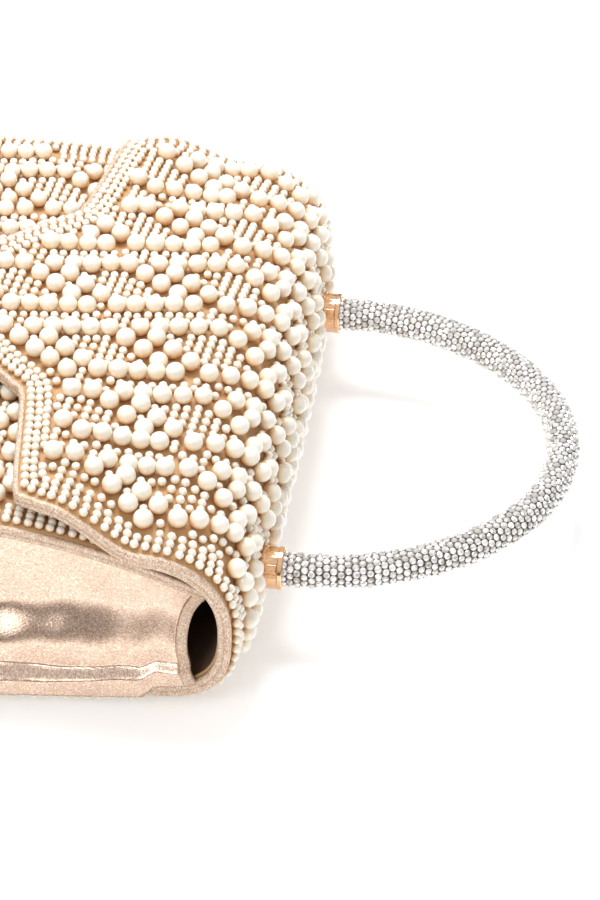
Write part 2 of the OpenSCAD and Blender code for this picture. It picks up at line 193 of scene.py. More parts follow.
# meshes
def newObject(name, points, faces, uv=None, tone=None, smoothFaces=True):
    mesh = bpy.data.meshes.new(name)
    points = np.asarray(points, float) * mm
    faces = np.asarray(faces, int)
    mesh.vertices.add(len(points))
    mesh.vertices.foreach_set("co", points.ravel())
    size = faces.shape[1]
    mesh.loops.add(faces.size)
    mesh.loops.foreach_set("vertex_index", faces.ravel())
    mesh.polygons.add(len(faces))
    mesh.polygons.foreach_set("loop_start", np.arange(0, faces.size, size))
    mesh.polygons.foreach_set("use_smooth", np.full(len(faces), smoothFaces))
    mesh.update(calc_edges=True)
    if uv is not None:
        layer = mesh.uv_layers.new(name="flat")
        layer.data.foreach_set("uv", np.asarray(uv, np.float32)[faces.ravel()].ravel())
    if tone is not None:
        attribute = mesh.attributes.new("tone", "FLOAT", "POINT")
        attribute.data.foreach_set("value", np.asarray(tone, np.float32))
    thing = bpy.data.objects.new(name, mesh)
    bpy.context.collection.objects.link(thing)
    return thing


def gridFaces(rows, cols, wrapCols=False):
    i, j = np.meshgrid(np.arange(rows - 1), np.arange(cols if wrapCols else cols - 1), indexing="ij")
    k = (j + 1) % cols
    return np.stack([i * cols + j, i * cols + k, (i + 1) * cols + k, (i + 1) * cols + j], -1).reshape(-1, 4)


def turnOutwards(thing):
    mesh = bmesh.new()
    mesh.from_mesh(thing.data)
    bmesh.ops.recalc_face_normals(mesh, faces=mesh.faces)
    mesh.to_mesh(thing.data)
    mesh.free()


# a closed sheet between an upper and a lower grid of points, rows x cols x 3
def closedSheet(name, upper, lower, uv):
    rows, cols = upper.shape[:2]
    n = rows * cols
    top = gridFaces(rows, cols)
    under = top[:, ::-1] + n
    r, c = np.arange(rows - 1), np.arange(cols - 1)
    ends = []
    for a, b in ((c, c + 1), (n - cols + c + 1, n - cols + c), (r * cols + cols, r * cols),
                 (r * cols + cols - 1, r * cols + 2 * cols - 1)):
        ends.append(np.stack([b, a, a + n, b + n], -1))
    points = np.concatenate([upper.reshape(-1, 3), lower.reshape(-1, 3)])
    uvs = np.concatenate([uv.reshape(-1, 2)] * 2)
    thing = newObject(name, points, np.concatenate([top, under] + ends), uvs)
    turnOutwards(thing)
    return thing


# a closed strip: a ring of cross-section points carried along a path, capped by its own ends
def closedStrip(name, points, uv):
    rows, cols = points.shape[:2]
    faces = gridFaces(rows, cols, True)
    thing = newObject(name, points.reshape(-1, 3), faces, uv.reshape(-1, 2))
    mesh = bmesh.new()
    mesh.from_mesh(thing.data)
    mesh.verts.ensure_lookup_table()
    bmesh.ops.holes_fill(mesh, edges=[e for e in mesh.edges if e.is_boundary])
    bmesh.ops.recalc_face_normals(mesh, faces=mesh.faces)
    mesh.to_mesh(thing.data)
    mesh.free()
    return thing


# materials
def toLinear(hexColour):        # sRGB hex to the linear values that shaders use
    values = [int(hexColour[i:i + 2], 16) / 255 for i in (1, 3, 5)]
    return [v / 12.92 if v <= 0.04045 else ((v + 0.055) / 1.055) ** 2.4 for v in values] + [1.0]


def addNode(tree, kind, inputs=None, **settings):
    node = tree.nodes.new(kind)
    for key, value in settings.items():
        setattr(node, key, value)
    for key, value in (inputs or {}).items():
        if isinstance(value, bpy.types.NodeSocket):
            tree.links.new(value, node.inputs[key])
        else:
            node.inputs[key].default_value = value
    return node


def newMaterial(name, values):
    material = bpy.data.materials.new(name)
    material.use_nodes = True
    tree = material.node_tree
    shader = tree.nodes["Principled BSDF"]
    for key, value in values.items():
        shader.inputs[key].default_value = value
    return material, tree, shader


def cloudOn(tree, scale, detail):       # soft noise in the piece's own space; scale is cells a metre
    place = addNode(tree, "ShaderNodeTexCoord")
    vector = place.outputs["Object"]
    noise = addNode(tree, "ShaderNodeTexNoise", {"Vector": vector, "Scale": scale, "Detail": detail})
    return noise.outputs["Fac"]


def ramp(tree, factor, stops):
    node = addNode(tree, "ShaderNodeValToRGB", {"Fac": factor})
    node.color_ramp.elements[0].position = stops[0][0]
    node.color_ramp.elements[0].color = toLinear(stops[0][1])
    node.color_ramp.elements[1].position = stops[-1][0]
    node.color_ramp.elements[1].color = toLinear(stops[-1][1])
    for position, colour in stops[1:-1]:
        node.color_ramp.elements.new(position).color = toLinear(colour)
    return node.outputs["Color"]


# imitation pearl: a moulded bead dipped in pearl lacquer, with a soft highlight under a thin clear skin;
# its colour is painted milky white above and warmer and darker towards the cloth, a painted shade and a
# painted warm reflection of the cloth, with a little random tone
def makePearl():
    material, tree, shader = newMaterial("imitationPearlLacquer", {
        "Roughness": 0.3, "IOR": 1.55, "Coat Weight": 0.6, "Coat Roughness": 0.07,
        "Subsurface Weight": 0.2, "Subsurface Scale": 0.0015, "Subsurface Radius": (1.0, 0.6, 0.35)})
    tone = addNode(tree, "ShaderNodeAttribute", attribute_name="tone")
    small = addNode(tree, "ShaderNodeMath", {0: cloudOn(tree, 900.0, 1.0), 1: 0.1}, operation="MULTIPLY")
    both = addNode(tree, "ShaderNodeMath", {0: tone.outputs["Fac"], 1: small.outputs[0]}, operation="ADD")
    # painted shade: by tone, warm peach where the bead meets the cloth, near white at its top
    colour = ramp(tree, both.outputs[0], [(0.3, "#E9BC88"), (0.52, "#F9E1BE"), (0.72, "#FDF3E2"),
                                          (1.0, "#FFFAF1")])
    tree.links.new(colour, shader.inputs["Base Color"])
    return material


# weave on the flat map of a panel, whose unit is a centimetre: two crossing waves, pitch in millimetres
def weave(tree, pitch):
    uv = addNode(tree, "ShaderNodeUVMap", uv_map="flat").outputs["UV"]
    waves = []
    for direction in ("X", "Y"):
        wave = addNode(tree, "ShaderNodeTexWave", {
            "Vector": uv, "Scale": 10 / pitch / 6.2832 * 3.1416, "Distortion": 0.6, "Detail": 1.0},
            bands_direction=direction)
        waves.append(wave.outputs["Fac"])
    both = addNode(tree, "ShaderNodeMath", {0: waves[0], 1: waves[1]}, operation="MULTIPLY")
    return both.outputs[0], uv


def addBump(tree, shader, height, strength, distance):
    bump = addNode(tree, "ShaderNodeBump", {"Height": height, "Strength": strength, "Distance": distance})
    tree.links.new(bump.outputs["Normal"], shader.inputs["Normal"])
    return bump


# polyester satin under the beads: warm champagne, threads just visible
def makeBaseFabric():
    material, tree, shader = newMaterial("champagneSatin", {"Roughness": 0.5, "Sheen Weight": 0.3})
    threads, uv = weave(tree, 0.5)
    cloud = addNode(tree, "ShaderNodeTexNoise", {"Vector": uv, "Scale": 3.0, "Detail": 3.0})
    mixed = addNode(tree, "ShaderNodeMath", {0: threads, 1: cloud.outputs["Fac"]}, operation="MULTIPLY")
    colour = ramp(tree, mixed.outputs[0], [(0.0, "#C0935F"), (0.4, "#E0B884"), (0.8, "#F2D5AA")])
    tree.links.new(colour, shader.inputs["Base Color"])
    addBump(tree, shader, threads, 0.4, 0.0001)
    return material


# metallised cloth: foil threads over a pink beige ground, drawn
# at half a millimetre, coarser than the real threads, so that they show; the brightest specks are a painted
# glint, near white in the colour
def makeFoilCloth(name, metal, rough, relief, dark, ground, light, paintedGlint):
    material, tree, shader = newMaterial(name, {"Metallic": metal, "Roughness": rough})
    threads, uv = weave(tree, 0.6)
    specks = addNode(tree, "ShaderNodeTexNoise", {
        "Vector": uv, "Scale": 24.0, "Detail": 3.0, "Roughness": 0.7})
    cells = addNode(tree, "ShaderNodeTexVoronoi", {"Vector": uv, "Scale": 22.0})
    chance = addNode(tree, "ShaderNodeSeparateColor", {"Color": cells.outputs["Color"]})
    part = addNode(tree, "ShaderNodeMath", {0: chance.outputs["Red"], 1: 0.3}, operation="MULTIPLY")
    mixed = addNode(tree, "ShaderNodeMath", {0: specks.outputs["Fac"], 1: part.outputs[0]}, operation="ADD")
    # the last stop is a painted glint: near-white specks in the colour
    colour = ramp(tree, mixed.outputs[0], [(0.42, dark), (0.62, ground), (0.78, light), (0.86, paintedGlint)])
    tree.links.new(colour, shader.inputs["Base Color"])
    height = addNode(tree, "ShaderNodeMath", {0: threads, 1: mixed.outputs[0]}, operation="ADD")
    addBump(tree, shader, height.outputs[0], relief, 0.00018)
    return material


def makeLining(name, dark, light):      # plain woven lining
    material, tree, shader = newMaterial(name, {"Roughness": 0.6, "Sheen Weight": 0.2})
    threads, uv = weave(tree, 0.5)
    colour = ramp(tree, threads, [(0.0, dark), (1.0, light)])
    tree.links.new(colour, shader.inputs["Base Color"])
    addBump(tree, shader, threads, 0.3, 0.0001)
    return material


# polished plating on cast brass
def makeGold():
    material, tree, shader = newMaterial("roseGoldPlating", {"Metallic": 1.0, "Roughness": 0.12})
    wear = cloudOn(tree, 700.0, 4.0)
    colour = ramp(tree, wear, [(0.3, "#F0BE93"), (0.7, "#FBD3AC")])
    tree.links.new(colour, shader.inputs["Base Color"])
    rough = addNode(tree, "ShaderNodeMapRange", {"Value": wear, "To Min": 0.08, "To Max": 0.2})
    tree.links.new(rough.outputs["Result"], shader.inputs["Roughness"])
    return material


# foil-backed cut glass: bright facets, each stone a little different
def makeStone():
    material, tree, shader = newMaterial("foilBackedCrystal", {
        "Metallic": 0.45, "Roughness": 0.1, "Coat Weight": 1.0, "Coat Roughness": 0.03})
    tone = addNode(tree, "ShaderNodeAttribute", attribute_name="tone")
    colour = ramp(tree, tone.outputs["Fac"], [(0.0, "#D2CDC8"), (0.4, "#EFEDEB"), (1.0, "#FFFFFF")])
    tree.links.new(colour, shader.inputs["Base Color"])
    return material


def makeMesh():                 # knitted wire behind the stones, dull and dark grey, darker away from each cell's centre; its darkness is partly the wire's own colour and partly a painted shade for the gaps between the stones
    material, tree, shader = newMaterial("silverWireMesh", {"Metallic": 0.7, "Roughness": 0.5})
    place = addNode(tree, "ShaderNodeTexCoord")
    wires = addNode(tree, "ShaderNodeTexVoronoi", {"Vector": place.outputs["Object"], "Scale": 1400.0})
    # painted shade: the dark ramp stands in for the shade in the gaps between the stones
    colour = ramp(tree, wires.outputs["Distance"], [(0.0, "#A79E93"), (0.6, "#5E554C")])
    tree.links.new(colour, shader.inputs["Base Color"])
    addBump(tree, shader, wires.outputs["Distance"], 0.5, 0.0002)
    return material


def makeSteel():                # turned steel, grey with faint tool marks
    material, tree, shader = newMaterial("plainSteel", {"Metallic": 1.0, "Roughness": 0.35})
    place = addNode(tree, "ShaderNodeTexCoord")
    brushed = addNode(tree, "ShaderNodeTexNoise", {"Vector": place.outputs["Object"], "Scale": 1500.0})
    colour = ramp(tree, brushed.outputs["Fac"], [(0.3, "#8E8E90"), (0.7, "#B4B4B6")])
    tree.links.new(colour, shader.inputs["Base Color"])
    return material


def makeCard():                 # pressed grey board, matt and fibrous
    material, tree, shader = newMaterial("greyBoard", {"Roughness": 0.85})
    colour = ramp(tree, cloudOn(tree, 500.0, 5.0), [(0.3, "#8F7F6A"), (0.7, "#AB9A83")])
    tree.links.new(colour, shader.inputs["Base Color"])
    return material


# the last colour of each foil cloth is its painted glint
pearlFinish, baseFinish, bindingFinish, lameFinish = makePearl(), makeBaseFabric(), makeFoilCloth(
    "roseGoldRibbon", 0.45, 0.42, 0.5, "#B8957A", "#DBBEA4", "#F0DAC6", "#FFF4E6"), makeFoilCloth(
    "roseGoldLame", 1.0, 0.2, 0.16, "#C3A48C", "#DFC2AC", "#EDD3C0", "#FFEFE2")
liningFinish = makeLining("brownLining", "#5A3B22", "#8A6238")
facingFinish = makeLining("goldSatinFacing", "#C49A62", "#E6C793")
goldFinish, stoneFinish, meshFinish = makeGold(), makeStone(), makeMesh()
steelFinish, cardFinish = makeSteel(), makeCard()
print("materials made")


def dress(thing, material, slot, *nodes):
    thing.data.materials.clear()
    thing.data.materials.append(material)
    if nodes:
        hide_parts(*nodes)


bend = {"start": 50, "end": 8}          # lengths round the top between which the panel bends as it opens; the script only finds their places on the middle line and bends nothing


def turnPoint(run):             # a place on the middle line of the rounded top
    return Vector(wrapPoint(bag["foldY"] + run, 0.0, 0.0)[0]) * mm


def bendWithFlap(thing):
    turnPoint(bend["start"])
    turnPoint(bend["end"])
    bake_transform(thing)


# outline of the wrapped panel in flat coordinates, from one back corner round the tip to the other
def flapOutline(step):
    top = bag["foldY"] + edgeArc
    t = np.linspace(0, 1, 900)
    g = np.concatenate([np.linspace(top, bag["foldY"], 300)[:-1],
                        bag["tipY"] + (bag["foldY"] - bag["tipY"]) * (1 - t) ** 2])
    right = np.stack([g, wrapHalf(g)], 1)
    line = np.concatenate([right, (right * [1, -1])[::-1][1:]])
    return resample(line, step)


def resample(line, step):
    lengths = np.concatenate([[0], np.cumsum(np.linalg.norm(np.diff(line, axis=0), axis=1))])
    count = max(2, int(round(lengths[-1] / step)) + 1)
    at = np.linspace(0, lengths[-1], count)
    return np.stack([np.interp(at, lengths, line[:, k]) for k in range(line.shape[1])], 1)


def inward(line):               # unit normals of a flat line, pointing into the panel
    d = np.gradient(line, axis=0)
    d /= np.linalg.norm(d, axis=1, keepdims=True)
    return np.stack([-d[:, 1], d[:, 0]], 1)


def gaps(points, others):       # distance from each point to the nearest of the others
    if not len(others):
        return np.full(len(points), 1e9)
    best = np.full(len(points), 1e9)
    for part in np.array_split(others, max(1, len(others) // 400)):
        d = points[:, None] - part[None]
        best = np.minimum(best, np.sqrt((d ** 2).sum(2)).min(1))
    return best


def insetRow(line, inset, pitch):
    moved = line + inward(line) * inset
    moved = moved[gaps(moved, line) > inset - 0.25]
    return resample(moved, pitch)


# the bead pattern on a flat panel
pattern = {
    "start": (-22.5, 14.6),     # first pearl of a cross bar
    "bar": (5.78, -0.85),       # step along a cross bar
    "slant": (5.8, 4.6),
    "along": (32.3, -4.9),      # from one crossing to the next, both ways
    "across": (0.0, 33.3),
    "lean": -0.33,              # the rows slip sideways as the cloth turns over the fold
    "leanFrom": -2,
    "leanRun": 18,
    "tightFrom": 30,            # past here towards the near side the rows draw together
    "tight": 0.865,
    "column": 3.1,              # spacing of the small beads' columns
    "columnLean": -0.08,
    "pitch": 2.62,              # spacing within a column
    "borderPitch": 3.2,
    "borderRows": (3.5, 6.0, 8.5),
    "touch": 4.3,               # a small bead's distance from a large pearl it leans on
    "largeRoom": 2.6,           # least distance of a large pearl from the last border row
    "smallRadius": 1.42,
    "largeRadius": 3.0,
}


def largePattern(lowG, highG, lowX, highX):
    names = ("start", "bar", "slant", "along", "across")
    start, bar, slant, along, across = (np.array(pattern[name]) for name in names)
    k = np.arange(5)[:, None]
    motif = np.concatenate([start + k * bar, start + 4 * slant + k * bar,
                            start + k[1:4] * slant, start + 4 * bar + k[1:4] * slant])
    i = np.arange(math.floor((lowG - start[0]) / along[0]) - 1, math.ceil((highG - start[0]) / along[0]) + 1)
    i, j = np.meshgrid(i, np.arange(-6, 7), indexing="ij")
    cells = i.reshape(-1, 1) * along + j.reshape(-1, 1) * across
    points = (cells[:, None] + motif[None]).reshape(-1, 2)
    points[:, 1] += pattern["lean"] * np.clip(points[:, 0] - pattern["leanFrom"], 0, pattern["leanRun"])
    past = np.maximum(points[:, 1] - pattern["tightFrom"], 0)
    points[:, 1] -= past * (1 - pattern["tight"])
    return points[(points[:, 1] > lowX) & (points[:, 1] < highX)]


# small beads fill each column from edge to edge, in even runs between the large pearls
def smallPattern(lowG, highG, room, large):
    first = pattern["start"][0] + pattern["column"] / 2
    slip = 120 * abs(pattern["columnLean"])
    steps = np.arange(math.floor((lowG - slip - first) / pattern["column"]),
                      math.ceil((highG + slip - first) / pattern["column"]))
    beads = []
    for g in first + pattern["column"] * steps:
        x = np.arange(-120, 120, 0.2)
        spots = np.stack([g + pattern["columnLean"] * x, x], 1)
        near = large[np.abs(large[:, 0] - g - pattern["columnLean"] * large[:, 1]) < pattern["touch"]]
        free = room(spots) & (gaps(spots, near) > pattern["touch"])
        ends = np.flatnonzero(np.diff(np.concatenate([[False], free, [False]]).astype(int)))
        for start, stop in zip(ends[::2], ends[1::2]):
            length = (stop - 1 - start) * 0.2
            count = int(length / pattern["pitch"]) + 1
            at = x[start] + (np.linspace(0, length, count) if count > 1 else np.array([length / 2]))
            beads.append(np.stack([g + pattern["columnLean"] * at, at], 1))
    return np.concatenate(beads)


# border rows along the outline, then large pearls, then small beads between them
def layBeads(line, inside, insetOf, bounds, allowed=None):
    rows = [insetRow(line, inset, pattern["borderPitch"]) for inset in pattern["borderRows"]]
    last = pattern["borderRows"][-1]
    large = largePattern(*bounds)
    large += rng.normal(0, 0.12, large.shape)
    large = large[inside(large)]
    large = large[insetOf(large) > last + pattern["largeRoom"]]
    if allowed is not None:
        large = large[allowed(large)]
    small = smallPattern(bounds[0], bounds[1], lambda p: inside(p) & (insetOf(p) > last + 2.6), large)
    rows = [row[gaps(row, large) > pattern["touch"] - 0.3] for row in rows]
    small = np.concatenate(rows + [small])
    small += rng.normal(0, 0.08, small.shape)
    return small, large


def quadSphere(cuts):           # a cube's faces cut into cells and pushed out to a unit ball
    a = np.tan(np.linspace(-math.pi / 4, math.pi / 4, cuts + 1))
    u, v = np.meshgrid(a, a, indexing="ij")
    one = np.ones_like(u)
    six = ((u, v, one), (v, u, -one), (one, u, v), (-one, v, u), (v, one, u), (u, -one, v))
    sides = [np.stack(s, -1) for s in six]
    points = np.concatenate([s.reshape(-1, 3) for s in sides])
    faces = np.concatenate([gridFaces(cuts + 1, cuts + 1) + k * (cuts + 1) ** 2 for k in range(6)])
    points /= np.linalg.norm(points, axis=1, keepdims=True)
    keys, index = np.unique(np.round(points, 5), axis=0, return_inverse=True)
    return keys / np.linalg.norm(keys, axis=1, keepdims=True), index.reshape(-1)[faces]


def outwardBall(cuts):
    points, faces = quadSphere(cuts)
    centres = points[faces].mean(1)
    n = np.cross(points[faces[:, 1]] - points[faces[:, 0]], points[faces[:, 2]] - points[faces[:, 0]])
    flip = (n * centres).sum(1) < 0
    faces[flip] = faces[flip][:, ::-1]
    return points, faces


# many copies of one ball in one mesh; the tone, a painted shade, rises from where a bead sits on the cloth
# to its top, with a small random shift per bead
def ballField(name, centres, radii, cuts, up):
    ball, faces = outwardBall(cuts)
    up = np.broadcast_to(np.asarray(up, float), centres.shape)
    points = (centres[:, None] + ball[None] * radii[:, None, None]).reshape(-1, 3)
    allFaces = (faces[None] + np.arange(len(centres))[:, None, None] * len(ball)).reshape(-1, 4)
    # painted shade: tone goes from the bead's underside at the cloth to its top, plus a random shift per
    # bead
    tone = 0.5 + 0.5 * (up @ ball.T) + rng.normal(0, 0.05, len(centres))[:, None]
    return newObject(name, points, allFaces, tone=tone.ravel())


def radii(count, radius, spread):
    return radius * (1 + np.clip(rng.normal(0, spread, count), -2 * spread, 2 * spread))


def wrapBeads(flat, radius, spread, sink):
    r = radii(len(flat), radius, spread)
    base = wrapPoint(flat[:, 0], flat[:, 1], 0.0)
    up = wrapNormal(flat[:, 0], flat[:, 1])
    return base + up * (r - sink)[:, None], r, up


# beaded top and flap
outline = flapOutline(0.8)
topEnd = bag["foldY"] + midArc


def insetOnWrap(p):
    return gaps(p, outline[::2])


def insideWrap(p):
    return (np.abs(p[:, 1]) < wrapHalf(np.minimum(p[:, 0], topEnd))) & (p[:, 0] > bag["tipY"])


capLow, capHigh = nodeBox("end_cap_near")
cap = {"x": (capLow + capHigh)[0] / 2, "z": (capLow + capHigh)[2] / 2, "radius": (capHigh - capLow)[2] / 2}


def fromCap(points):            # distance of places on the outside from the nearer cap's axis
    away = np.hypot(np.abs(points[:, 0]) - cap["x"], points[:, 2] - cap["z"])
    return np.where(points[:, 1] > bag["foldY"] + 5, away, 1e3)


def onTop(p):                   # ends where the flat back starts, measured at each x
    arc = arcTable(p[:, 1])[:, -1]
    return p[:, 0] <= bag["foldY"] + arc


def awayFromCaps(p):
    return fromCap(wrapPoint(p[:, 0], p[:, 1], 0.0)) > cap["radius"] + 5.2


wrapBounds = (bag["tipY"], topEnd + 12, -bag["halfTop"], bag["halfTop"])
small, large = layBeads(outline, insideWrap, insetOnWrap, wrapBounds, awayFromCaps)
small, large = small[onTop(small)], large[onTop(large)]
small = small[fromCap(wrapPoint(small[:, 0], small[:, 1], 1.3)) > cap["radius"] + 1.7]
centres, r, up = wrapBeads(small, pattern["smallRadius"], 0.03, 0.12)
smallWrap = ballField("smallBeadsTopAndFlap", centres, r, 2, up)
centres, r, up = wrapBeads(large, pattern["largeRadius"], 0.02, 0.1)
largeWrap = ballField("largePearlsTopAndFlap", centres, r, 4, up)
for thing in (smallWrap, largeWrap):
    dress(thing, pearlFinish, "pearl", "top_beads", "flap_beads")
    bendWithFlap(thing)
print("beads on top and flap", len(small), len(large))


# outer fabric of top and flap: a grid in g and in the share of the half width
def wrapSheet(name, layer, inset, rows, cols, fromG, toG):
    t = np.linspace(0, 1, rows)
    g = fromG + (toG - fromG) * (0.35 * t + 0.65 * t ** 1.4)
    s = np.linspace(-1, 1, cols)
    gg, ss = np.meshgrid(g, s, indexing="ij")
    xx = ss * np.maximum(wrapHalf(gg) - inset, 0.8)
    upper = wrapPoint(gg, xx, layer[0]).reshape(rows, cols, 3)
    lower = wrapPoint(gg, xx, layer[1]).reshape(rows, cols, 3)
    return closedSheet(name, upper, lower, np.stack([gg, xx], -1) / 10)


tipG = bag["tipY"] + 1
wrapCover = wrapSheet("beadedPanelFabric", fabric, 0.9, 130, 90, tipG, topEnd)
dress(wrapCover, baseFinish, "base_fabric", "top_cover", "flap_cover")
wrapFacing = wrapSheet("flapFacing", lining, 0.9, 80, 60, tipG, bag["foldY"])
dress(wrapFacing, facingFinish, "flap_lining", "lining_flap")
wrapLining = wrapSheet("topLining", lining, 0.9, 50, 60, bag["foldY"], topEnd)
dress(wrapLining, liningFinish, "lining", "lining_top")
wrapBoard = wrapSheet("panelBoard", board, 1.2, 90, 50, tipG, topEnd)
dress(wrapBoard, cardFinish, "card", "top_board", "flap_board")
for thing in (wrapCover, wrapFacing, wrapLining, wrapBoard):
    bendWithFlap(thing)


# ribbon folded over the edge: inset from the edge and height above the outer fabric, round the fold
ribbonSection = np.array([
    (1.7, 0.08), (1.5, 0.3), (0.5, 0.4), (0.0, 0.15), (-0.2, -0.6), (-0.22, -1.5), (0.12, -1.68),
    (-0.22, -1.86), (-0.2, -2.8), (0.0, -3.4), (0.6, -3.75), (1.8, -3.7), (1.8, -3.45), (0.5, -3.4),
    (0.3, -2.8), (0.3, -0.6), (0.5, 0.03)])


def ribbonOn(name, line, section, place):
    n = inward(line)
    flat = line[:, None] + n[:, None] * section[None, :, :1]
    o = np.broadcast_to(section[None, :, 1], flat.shape[:2])
    points = place(flat[..., 0], flat[..., 1], o).reshape(*flat.shape[:2], 3)
    run = np.broadcast_to((np.arange(len(line)) * 0.9)[:, None], flat.shape[:2])
    steps = np.linalg.norm(np.diff(section, axis=0, prepend=section[:1]), axis=1)
    around = np.broadcast_to(np.cumsum(steps)[None], flat.shape[:2])
    return closedStrip(name, points, np.stack([run, around], -1) / 10)


flapRibbon = ribbonOn("flapEdgeRibbon", flapOutline(0.9), ribbonSection, wrapPoint)
dress(flapRibbon, bindingFinish, "binding", "flap_binding")
bendWithFlap(flapRibbon)

# the facing's turned edge shows as a pale lip beside the ribbon, inside the opening
lipSection = np.array([(1.9, -3.45), (1.95, -3.9), (2.6, -4.15), (3.3, -3.9), (3.4, -3.45)])
facingLip = ribbonOn("facingLip", flapOutline(0.9), lipSection, wrapPoint)
dress(facingLip, facingFinish, "flap_lining", "lining_top")
bendWithFlap(facingLip)
print("top and flap made")


# back
def flatPoint(y, x, o):
    y, x, o = np.broadcast_arrays(y, x, o)
    return np.stack([x, y, bag["backZ"] - o], -1).astype(float)


backLine = resample(np.array([[bag["foldY"], -bag["halfTop"]], [bag["baseY"], -bag["halfBase"]],
                              [bag["baseY"], bag["halfBase"]], [bag["foldY"], bag["halfTop"]]]), 0.8)[::-1]


def insideBack(p):
    arc = arcTable(p[:, 1])[:, -1]
    y = bag["foldY"] - (p[:, 0] - bag["foldY"] - arc)
    return (y < bag["foldY"]) & (y > bag["baseY"] + 1) & (np.abs(p[:, 1]) < backHalf(y) - 1)


def toBackY(p):
    arc = arcTable(p[:, 1])[:, -1]
    return np.stack([bag["foldY"] - (p[:, 0] - bag["foldY"] - arc), p[:, 1]], 1)


def layBack():
    start = bag["foldY"] + edgeArc
    end = bag["foldY"] + midArc + bag["foldY"] - bag["baseY"] + 2
    bounds = (start, end, -bag["halfBase"], bag["halfBase"])
    rows = [insetRow(backLine, inset, pattern["borderPitch"]) for inset in (1.0,) + pattern["borderRows"]]
    last = pattern["borderRows"][-1]
    large = largePattern(*bounds)
    large = large[insideBack(large)]
    large = large[gaps(toBackY(large), backLine) > last + pattern["touch"]]
    small = smallPattern(bounds[0], bounds[1],
                         lambda p: insideBack(p) & (gaps(toBackY(p), backLine) > last + 2.6), large)
    return np.concatenate(rows + [toBackY(small)]), toBackY(large)


small, large = layBack()
r = radii(len(small), pattern["smallRadius"], 0.03)
backSmall = ballField("smallBeadsBack", flatPoint(small[:, 0], small[:, 1], r - 0.15), r, 2, (0, 0, -1))
r = radii(len(large), pattern["largeRadius"], 0.01)
backLarge = ballField("largePearlsBack", flatPoint(large[:, 0], large[:, 1], r - 0.1), r, 3, (0, 0, -1))
for thing in (backSmall, backLarge):
    dress(thing, pearlFinish, "pearl", "back_beads")
    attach(thing, "bag")
print("back beads", len(small), len(large))


# a flat panel's layer between two places along it, narrowed by an inset at each side
def flatSheet(name, rows, cols, halfAt, fromY, toY, layer, inset, place):
    y = np.linspace(fromY, toY, rows)
    s = np.linspace(-1, 1, cols)
    yy, ss = np.meshgrid(y, s, indexing="ij")
    xx = ss * (halfAt(yy) - inset)
    uv = np.stack([yy, xx], -1) / 10
    return closedSheet(name, place(yy, xx, layer[0]), place(yy, xx, layer[1]), uv)


backCover = flatSheet("backPanelFabric", 20, 20, backHalf, bag["baseY"] + 0.5, bag["foldY"], fabric, 0.4,
                      flatPoint)
dress(backCover, baseFinish, "base_fabric", "back_cover")
backLining = flatSheet("backLining", 20, 20, backHalf, bag["baseY"] + 3.6, bag["foldY"], lining, 1.5,
                       flatPoint)
dress(backLining, liningFinish, "lining", "lining_back")
for thing in (backCover, backLining):
    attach(thing, "bag")


# front
def frontPoint(y, x, o):
    y, x, o = np.broadcast_arrays(y, x, o)
    return np.stack([x, y, frontHeight(y) + o], -1).astype(float)


frontFoot = bag["baseY"] + 0.3
frontCorners = [[frontFoot, bag["halfFront"]], [bag["mouthY"], bag["halfFront"]],
                [bag["mouthY"], -bag["halfFront"]], [frontFoot, -bag["halfFront"]]]
frontLine = resample(np.array(frontCorners), 0.8)[::-1]


def frontHalf(y):
    return np.full_like(y, bag["halfFront"])


def insideFront(p):
    along = (p[:, 0] > bag["baseY"] + 2) & (p[:, 0] < bag["mouthY"] - 1)
    return along & (np.abs(p[:, 1]) < bag["halfFront"] - 1)


def insetOnFront(p):
    return np.minimum(bag["halfFront"] - np.abs(p[:, 1]), bag["mouthY"] - p[:, 0])


def roomUnderFlap(p):           # height free above the front panel's fabric
    y = np.minimum(p[:, 0], bag["foldY"])
    free = flapHeight(p[:, 1], y) - bag["wall"] - 0.5 - frontHeight(p[:, 0])
    covered = (p[:, 0] > bag["tipY"] - 3) & (np.abs(p[:, 1]) < flapHalf(y) + 3)
    return np.where(covered, np.where(p[:, 0] > bag["foldY"], 3.0, free), 20.0)


small, large = layBeads(frontLine, insideFront, insetOnFront,
                        (bag["baseY"], bag["mouthY"], -bag["halfFront"], bag["halfFront"]),
                        lambda p: roomUnderFlap(p) > 5.0)
snapLow, snapHigh = nodeBox("snap_socket")
snapCentre = (snapLow + snapHigh) / 2
room = (snapHigh - snapLow)[0] / 2
small, large = small[small[:, 0] < bag["foldY"] + 9], large[large[:, 0] < bag["foldY"] + 7]
small = small[np.hypot(small[:, 0] - snapCentre[1], small[:, 1] - snapCentre[0]) > room + 2]
large = large[np.hypot(large[:, 0] - snapCentre[1], large[:, 1] - snapCentre[0]) > room + 3.5]
r = radii(len(small), pattern["smallRadius"], 0.03)
frontSmall = ballField("smallBeadsFront", frontPoint(small[:, 0], small[:, 1], r - 0.15), r, 2, (0, 0, 1))
r = radii(len(large), pattern["largeRadius"] * 0.97, 0.02)
lift = np.minimum(r - 0.1, roomUnderFlap(large) - r)
frontLarge = ballField("largePearlsFront", frontPoint(large[:, 0], large[:, 1], lift), r, 3, (0, 0, 1))
for thing in (frontSmall, frontLarge):
    dress(thing, pearlFinish, "pearl", "front_beads")
    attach(thing, "bag")
print("front beads", len(small), len(large))

